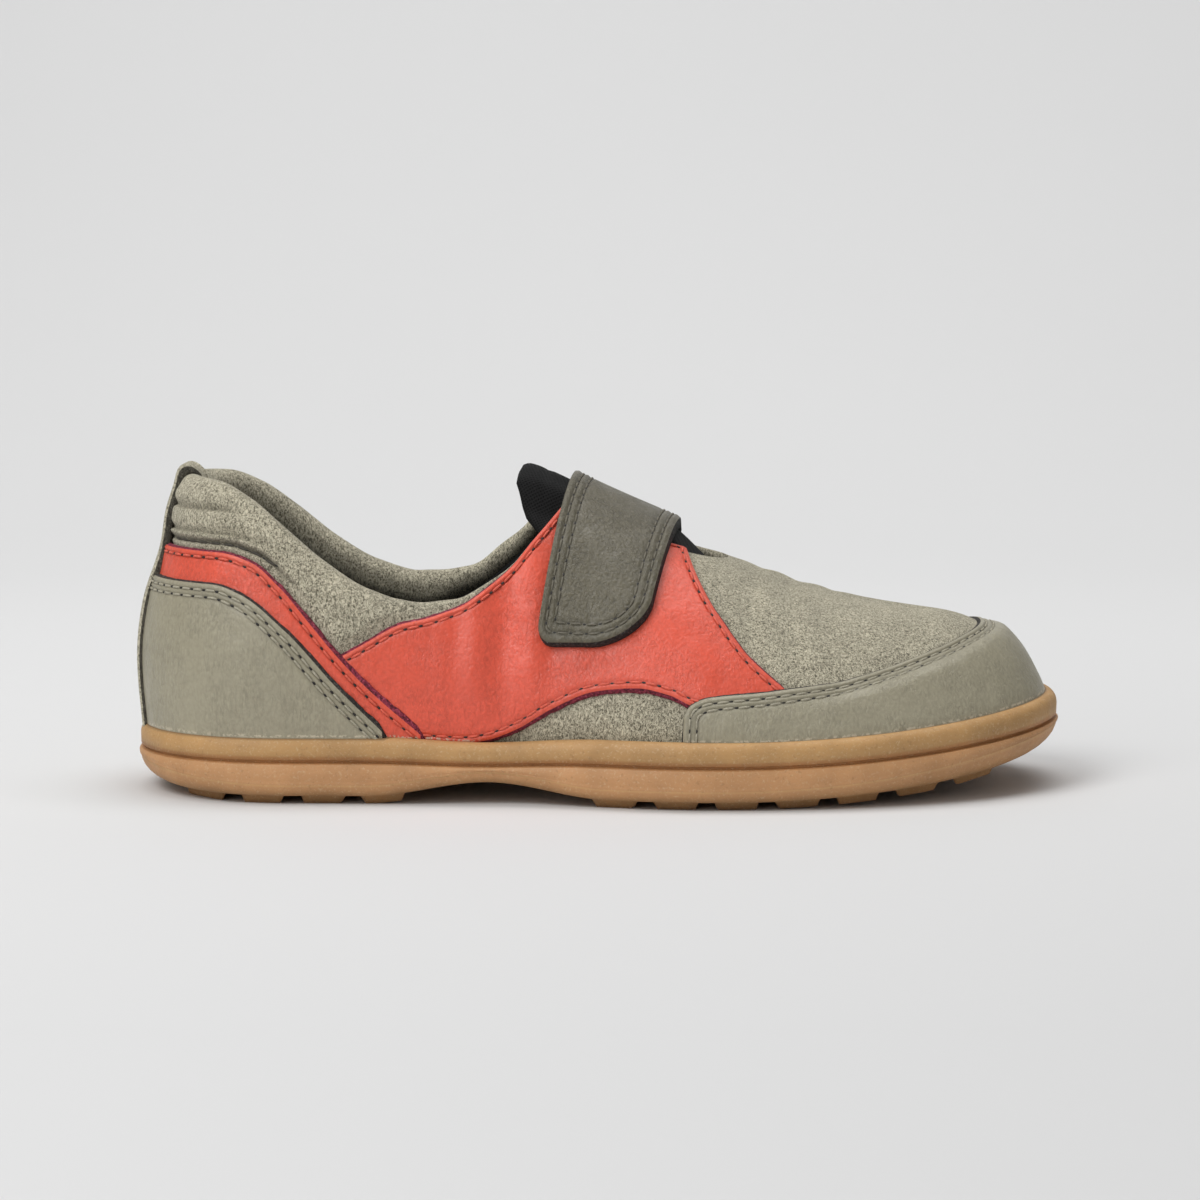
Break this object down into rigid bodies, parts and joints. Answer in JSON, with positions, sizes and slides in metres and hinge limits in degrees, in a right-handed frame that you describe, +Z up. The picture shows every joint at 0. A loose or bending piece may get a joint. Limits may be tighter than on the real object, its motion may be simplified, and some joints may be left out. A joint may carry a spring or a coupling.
{
  "type": "toddler sneaker",
  "caption": "Low toddler sneaker for the right foot with gum cup sole, leather toe and heel overlays, suede padded collar, contrast quarters and one closing strap",
  "frame": {"origin": "on the floor under the middle of the shoe's bounding box", "axes": "+X from heel to toe, +Y to the medial side, +Z up from the floor"},
  "size_m": [0.15, 0.066, 0.0521],
  "materials": {
    "gum_rubber": "matte moulded gum rubber",
    "footbed_cloth": "napped footbed cover over foam",
    "suede": "stone grey suede with soft nap",
    "tongue_cloth": "black padded cloth",
    "smooth_leather": "stone grey smooth leather with fine grain",
    "red_leather": "coral red leather with soft gloss",
    "strap_leather": "darker stone grey smooth leather with fine grain"
  },
  "bodies": {
    "root": {"outsole": "gum_rubber", "insole": "footbed_cloth", "upper": "suede", "tongue": "tongue_cloth", "toe_cap": "smooth_leather", "counter_lateral": "smooth_leather", "counter_medial": "smooth_leather", "stripe_lateral": "red_leather", "stripe_medial": "red_leather", "quarter_lateral": "red_leather", "quarter_medial": "red_leather", "heel_strip": "suede", "strap": "strap_leather"}
  },
  "joints": []
}
